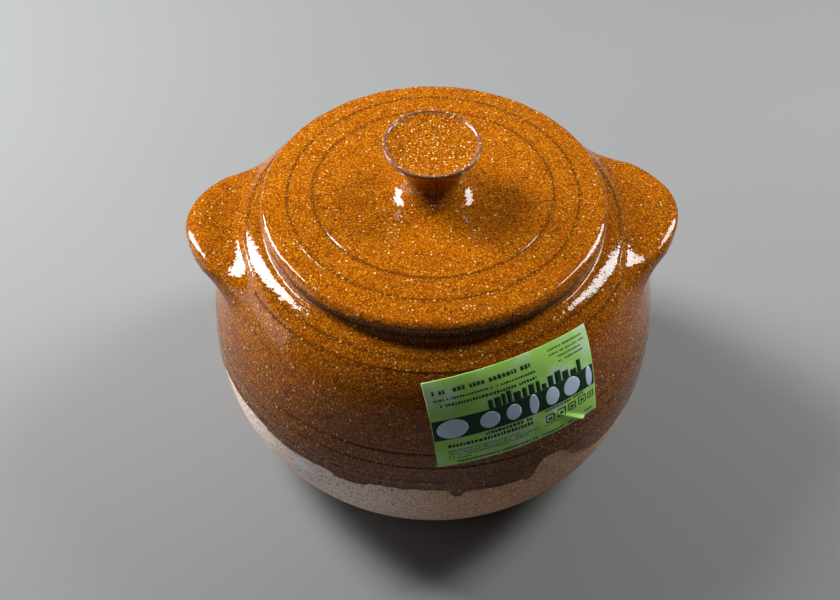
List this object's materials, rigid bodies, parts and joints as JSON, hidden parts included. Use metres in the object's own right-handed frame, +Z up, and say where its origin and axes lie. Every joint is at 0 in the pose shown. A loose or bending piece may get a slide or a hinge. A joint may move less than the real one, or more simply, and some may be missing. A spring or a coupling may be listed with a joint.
{
  "type": "lidded stew pot",
  "caption": "Bellied glazed earthenware pot with ledge handles and a flat lid that lifts off by its flared knob.",
  "frame": {"origin": "centre of the flat base, on the surface that the pot stands on", "axes": "+Z up, +X through the right handle, -Y towards the side with the label"},
  "size_m": [0.2904, 0.2684, 0.2184],
  "materials": {
    "honey_glaze": "gloss",
    "raw_clay": "matte",
    "label_paper": "satin"
  },
  "bodies": {
    "pot": {"bowl": "honey_glaze", "left_handle": "honey_glaze", "right_handle": "honey_glaze", "label": "label_paper"},
    "lid": {"lid_plate": "honey_glaze", "lid_knob": "honey_glaze"}
  },
  "joints": [
    {"name": "lid_lift", "type": "slide", "parent": "pot", "child": "lid", "axis": [0, 0, 1], "range_m": [0, 0.2]}
  ]
}
